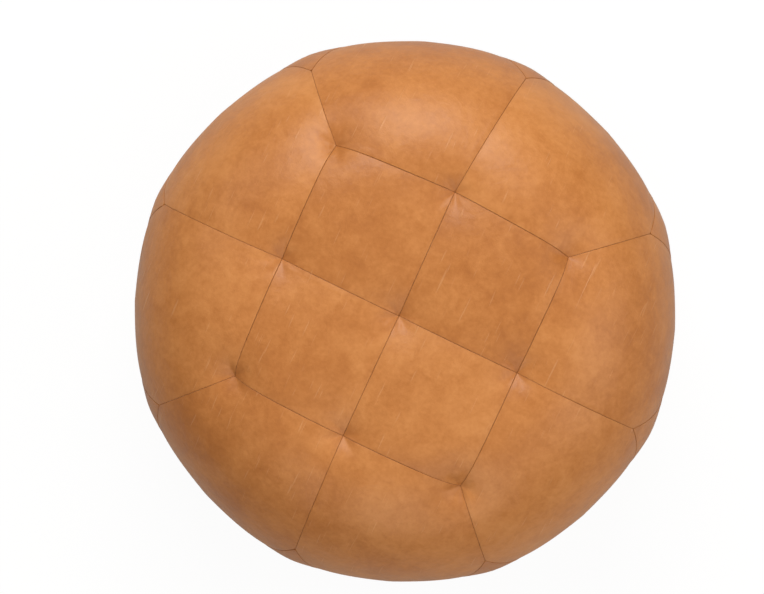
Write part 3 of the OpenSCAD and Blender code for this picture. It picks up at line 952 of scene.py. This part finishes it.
def pits(flat):
    """How far the filling is pulled down at points of the flat map."""
    points, _ = on_cover(flat)
    pull = sink(flat) * (1 - smooth((np.hypot(flat[..., 0], flat[..., 1]) - BASE_S + 0.03) / 0.02))
    for tuft in tuft_points:
        far = np.sqrt(((points - tuft) ** 2).sum(-1))
        pull = pull + (TUFT_DEPTH + 0.7 * MM) * np.exp(-(far / (TUFT_REACH + 2 * MM)) ** 1.15)
    return pull


def face_rings(s_values, offset, with_pits=True):
    rings = []
    for s in s_values:
        flat = polar(ring_turns[::2], np.full(AROUND // 2, max(s, 1e-5)))
        rings.append(on_cover(flat, -offset - (pits(flat) if with_pits else 0.0))[0])
    return np.array(rings)


def layer_mesh(name, outside, thickness, s_values, from_top):
    outer = face_rings(s_values, outside, from_top)
    inner = face_rings(s_values, outside + thickness, from_top)
    rings = np.concatenate([outer, inner[::-1]])
    mesh = ring_mesh(name, rings, close_start=True, close_end=True)
    print(name, "open edges:", orient(mesh))
    return mesh


LINER_O, LINER_T, WRAP_O, WRAP_T, FOAM_O = (v * MM for v in (8.3, 0.8, 9.4, 16.6, 26.3))
SPLIT_S = BASE_S + 0.014
TWINE_R, TAB_HOLE_R = 3 * MM, 8 * MM
top_s = np.concatenate([[0.001], np.linspace(0.006, 0.30, 72), np.linspace(0.31, SPLIT_S, 34)])
base_s = np.linspace(CENTRE_S - 0.001, SPLIT_S + 0.4 * MM, 30)
tab_holes = cutter(TAB_HOLE_R, TAB_HOLE_R, lambda tuft: 0.31, bottom=0.29)
LAYERS = (("liner_top_cloth", "liner_cover", True), ("fibre_wrap_top", "fibre_wrap_cover", True),
          ("liner_base_cloth", "liner_base", False),
          ("fibre_wrap_bottom", "fibre_wrap_base", False))
for name, node, on_top in LAYERS:
    cloth = name.startswith("liner")
    offset, thick, slot = ((LINER_O, LINER_T, "cotton") if cloth
                           else (WRAP_O, WRAP_T, "fibre_wrap"))
    mesh = layer_mesh(name, offset, thick, top_s if on_top else base_s, on_top)
    if on_top:
        mesh = cut_away(mesh, tab_holes.copy())
        mesh.name = name
    add_object(name, mesh, finishes[slot], replaced=[node])


TOPPER_T = 0.070
topper_z = HEIGHT - FOAM_O - TOPPER_T + 0.2 * MM
foam_s = CROWN_S + SHOULDER_R * math.acos(
    (topper_z - (HEIGHT - SHOULDER_R)) / (SHOULDER_R - FOAM_O))
dome = face_rings(np.concatenate([[0.001], np.linspace(0.006, foam_s, 70)]), FOAM_O)
dome[..., 2] = np.maximum(dome[..., 2], topper_z)
rim = dome[-1].copy()
under = np.array([np.stack([rim[:, 0] * f, rim[:, 1] * f, np.full(len(rim), topper_z)], -1)
                  for f in (1.0, 0.66, 0.33, 0.02)])
topper_mesh = ring_mesh("soft_foam_topper", np.concatenate([dome, under]), True, True)
print("topper open edges:", orient(topper_mesh))
TAB_L, HITCH_R = 26.0 * MM, 4.0 * MM


def tab_end_z(tuft):
    """Lower end of a pull tab, as the frame has it."""
    radius = math.hypot(*tuft) * SQUARE
    over = max(radius - CROWN_S, 0.0)
    depth = 8.0 * MM
    top = HEIGHT - depth if over == 0 else (
        HEIGHT - SHOULDER_R + math.sqrt((SHOULDER_R - depth) ** 2 - over ** 2))
    return top - TAB_L


wells = cutter(TWINE_R, TAB_HOLE_R, lambda tuft: tab_end_z(tuft) - 2 * HITCH_R - 2 * MM)
topper_mesh = cut_away(topper_mesh, wells)
add_object("soft_foam_topper", topper_mesh,
                                             finishes["soft_foam"],
                                             replaced=["foam_topper"])

# %% [markdown]
# The pull tabs are short loops of cotton tape, sewn into the nine junctions. Each hangs from
# the allowances down into the wells of the soft foam, where the twine is hitched to its eye.


# %% Pull tabs
def tab_mesh():
    work = bmesh.new()
    for tuft, at in tuft_plan.items():
        grid_x, grid_y = tuft[0] * SQUARE, tuft[1] * SQUARE
        low = tab_end_z(tuft)
        high = float(on_cover(map_point(*at))[0][2]) - (TUFT_DEPTH + SINK_TOP + 8.8 * MM)
        eye = low + 5 * MM
        turns = np.linspace(0, 2 * math.pi, 32, endpoint=False)
        ring = [(1.7 * MM * math.cos(t), eye + 1.7 * MM * math.sin(t)) for t in turns]
        edge = []
        for t in turns:
            x, z = math.cos(t), math.sin(t)
            reach = min(6 * MM / max(abs(x), 1e-6),
                        ((high - eye) if z > 0 else (eye - low)) / max(abs(z), 1e-6))
            edge.append((reach * x, eye + reach * z))
        sides = []
        for y in (-0.55 * MM, 0.55 * MM):
            sides.append([[work.verts.new((grid_x + x, grid_y + y, z)) for x, z in loop]
                          for loop in (ring, edge)])
        for i in range(32):
            j = (i + 1) % 32
            (ra, ea), (rb, eb) = sides
            work.faces.new((ra[i], ea[i], ea[j], ra[j]))
            work.faces.new((rb[j], eb[j], eb[i], rb[i]))
            work.faces.new((ea[i], eb[i], eb[j], ea[j]))
            work.faces.new((ra[j], rb[j], rb[i], ra[i]))
    mesh = bpy.data.meshes.new("cotton_tabs")
    work.to_mesh(mesh)
    work.free()
    return mesh


tabs = tab_mesh()
print("tabs open edges:", orient(tabs))
add_object("cotton_pull_tabs", tabs, finishes["cotton"], replaced=["pull_tabs"])

# %% [markdown]
# Stitches and zip teeth are one small shape repeated along a line, which is work for Geometry
# Nodes. One tree does both: it samples the line at an even pitch, sets a rounded bead on each
# point, turned along the line, and joins them into a mesh. Its inputs are the pitch and the
# bead's three sizes.


# %% Beads along a line
def bead_tree():
    tree = bpy.data.node_groups.new("beads_along_line", "GeometryNodeTree")
    face = tree.interface
    face.new_socket("Line", in_out="INPUT", socket_type="NodeSocketGeometry")
    for label, start in (("Pitch", 0.004), ("Length", 0.003), ("Width", 0.0008),
                         ("Thickness", 0.0008)):
        face.new_socket(label, in_out="INPUT", socket_type="NodeSocketFloat").default_value = start
    face.new_socket("Finish", in_out="INPUT", socket_type="NodeSocketMaterial")
    face.new_socket("Beads", in_out="OUTPUT", socket_type="NodeSocketGeometry")
    new, link = tree.nodes.new, tree.links.new
    given, made = new("NodeGroupInput"), new("NodeGroupOutput")
    curve, sample = new("GeometryNodeMeshToCurve"), new("GeometryNodeResampleCurve")
    sample.mode = "LENGTH"
    bead = new("GeometryNodeMeshUVSphere")
    bead.inputs["Segments"].default_value, bead.inputs["Rings"].default_value = 6, 5
    bead.inputs["Radius"].default_value = 0.5
    size = new("ShaderNodeCombineXYZ")
    tangent, turn = new("GeometryNodeInputTangent"), new("FunctionNodeAlignRotationToVector")
    turn.axis = "X"
    put, real = new("GeometryNodeInstanceOnPoints"), new("GeometryNodeRealizeInstances")
    finish = new("GeometryNodeSetMaterial")
    link(given.outputs["Line"], curve.inputs["Mesh"])
    link(curve.outputs[0], sample.inputs["Curve"])
    link(given.outputs["Pitch"], sample.inputs["Length"])
    for label, axis in (("Length", "X"), ("Width", "Y"), ("Thickness", "Z")):
        link(given.outputs[label], size.inputs[axis])
    link(tangent.outputs[0], turn.inputs["Vector"])
    link(sample.outputs[0], put.inputs["Points"])
    link(bead.outputs["Mesh"], put.inputs["Instance"])
    link(turn.outputs[0], put.inputs["Rotation"])
    link(size.outputs[0], put.inputs["Scale"])
    link(put.outputs[0], real.inputs[0])
    link(real.outputs[0], finish.inputs["Geometry"])
    link(given.outputs["Finish"], finish.inputs["Material"])
    link(finish.outputs[0], made.inputs[0])
    return tree


beads = bead_tree()


def beads_along(name, lines, sizes, slot, replaced):
    """A plain mesh of beads along lists of points, riding on the pouf."""
    points, edges = [], []
    for line in lines:
        start = len(points)
        points.extend(np.asarray(line).tolist())
        edges.extend([(i, i + 1) for i in range(start, len(points) - 1)])
    mesh = bpy.data.meshes.new(name)
    mesh.from_pydata(points, edges, [])
    holder = bpy.data.objects.new(name + "_line", mesh)
    bpy.context.scene.collection.objects.link(holder)
    run = holder.modifiers.new("beads", "NODES")
    run.node_group = beads
    ids = {i.name: i.identifier for i in beads.interface.items_tree if i.in_out == "INPUT"}
    for label, value in sizes.items():
        run[ids[label]] = value
    run[ids["Finish"]] = finishes[slot]
    graph = bpy.context.evaluated_depsgraph_get()
    made = bpy.data.meshes.new_from_object(holder.evaluated_get(graph))
    bpy.data.objects.remove(holder)
    made.name = name
    made.shade_smooth()
    print(name, "faces", len(made.polygons))
    return add_object(name, made, finishes[slot], replaced=replaced)


def stitch_path(name, inset, depth):
    """Closed line inside a panel's seams, at this inset and depth."""
    sides = side_lines[name]
    spans = [np.linalg.norm(np.diff(line, axis=0), axis=1).sum() for line in sides]
    t = np.linspace(0, 1, 41)
    iu, iv = inset / spans[0], inset / spans[2]
    u, v = iu + (1 - 2 * iu) * t, iv + (1 - 2 * iv) * t
    kind = name.split("_")[0]
    surface = panel_surface(name, kind, u, v)
    face = surface[0] - surface[1] * depth
    return np.concatenate([face[:, 0], face[-1, 1:], face[-2::-1, -1], face[0, -2::-1]])


STITCH = {"Pitch": 4.0 * MM, "Length": 3.2 * MM, "Width": 0.7 * MM, "Thickness": 0.7 * MM}
for group in ("top", "upper", "lower"):
    names = [n for n in panels if n.startswith(group)]
    beads_along(f"stitches_{group}", [stitch_path(n, 2.1 * MM, 4.6 * MM) for n in names],
                STITCH, "thread", [f"seam_thread_{group}"])
half_turns = np.linspace(math.radians(160), math.radians(380), 160)
base_line = on_cover(polar(half_turns, np.full(160, BASE_S + 2.1 * MM)), np.full(160, -5.4 * MM))[0]
beads_along("stitches_base", [base_line], STITCH, "thread", ["seam_thread_base"])

# %% [markdown]
# The zip runs under the turned edges of the leather. Its tapes are thin woven bands, its coil
# is two rows of beads a pitch apart, and a line of stitches holds each leather edge to its
# tape. The slider, its pull and the end stops keep the frame's own shapes, because they have
# to fit each other as they move.

# %% Zip
ZIP_TURNS = np.radians(np.linspace(22.5, 157.5, 260))


def level_line(shift, lift, turns=ZIP_TURNS):
    """Line along the zip, moved across it and off the surface."""
    return on_cover(polar(turns, np.full(len(turns), BASE_S + shift)),
                    np.full(len(turns), float(lift)))[0]


def band_mesh(name, near, far, outside, thickness, ribs=9):
    turns = np.radians(np.linspace(20.6, 159.4, 220))
    across = np.linspace(near, far, ribs)
    swell = 0.08 * MM * np.cos(np.linspace(0, 4 * math.pi, ribs))
    top = [level_line(a, -outside - 0.05 * MM + w, turns) for a, w in zip(across, swell)]
    low = [level_line(a, -outside - thickness, turns) for a in across]
    loop = np.array(top + low[::-1])
    count = loop.shape[1]
    index = np.arange(loop.shape[0] * count).reshape(loop.shape[:2])
    nxt = np.roll(index, -1, 0)
    faces = np.stack([index[:, :-1], nxt[:, :-1], nxt[:, 1:], index[:, 1:]], -1)
    faces = faces.reshape(-1, 4).tolist()
    faces += [index[::-1, 0].tolist(), index[:, -1].tolist()]
    mesh = bpy.data.meshes.new(name)
    mesh.from_pydata(loop.reshape(-1, 3).tolist(), [], faces)
    print(name, "open edges:", orient(mesh))
    return mesh


TAPE_O, TAPE_T, TAPE_GAP, TAPE_W = 1.8 * MM, 0.6 * MM, 0.45 * MM, 15.0 * MM
COIL_ACROSS, COIL_DEPTH, STITCH_ACROSS, STITCH_LIFT = 1.6 * MM, 0.65 * MM, 8.0 * MM, 0.25 * MM
COIL = {"Pitch": 1.7 * MM, "Length": 1.35 * MM, "Width": 2.1 * MM, "Thickness": 2.1 * MM}
coil_turns = np.radians(np.linspace(24.0, 156.0, 300))
for half, way in (("side", -1), ("base", 1)):
    tape = band_mesh(f"tape_{half}", way * TAPE_GAP, way * TAPE_W, TAPE_O, TAPE_T)
    add_object(f"tape_{half}", tape, finishes["zip_tape"],
               replaced=[f"zip_tape_{half}"])
    beads_along(f"coil_{half}", [level_line(way * COIL_ACROSS, -COIL_DEPTH, coil_turns)], COIL,
                "zip_coil", [f"zip_coil_{half}"])
beads_along("zip_topstitches", [level_line(way * STITCH_ACROSS, STITCH_LIFT) for way in (-1, 1)],
            {"Pitch": 4.2 * MM, "Length": 3.3 * MM, "Width": 0.9 * MM, "Thickness": 0.7 * MM},
            "thread", ["zip_topstitch"])
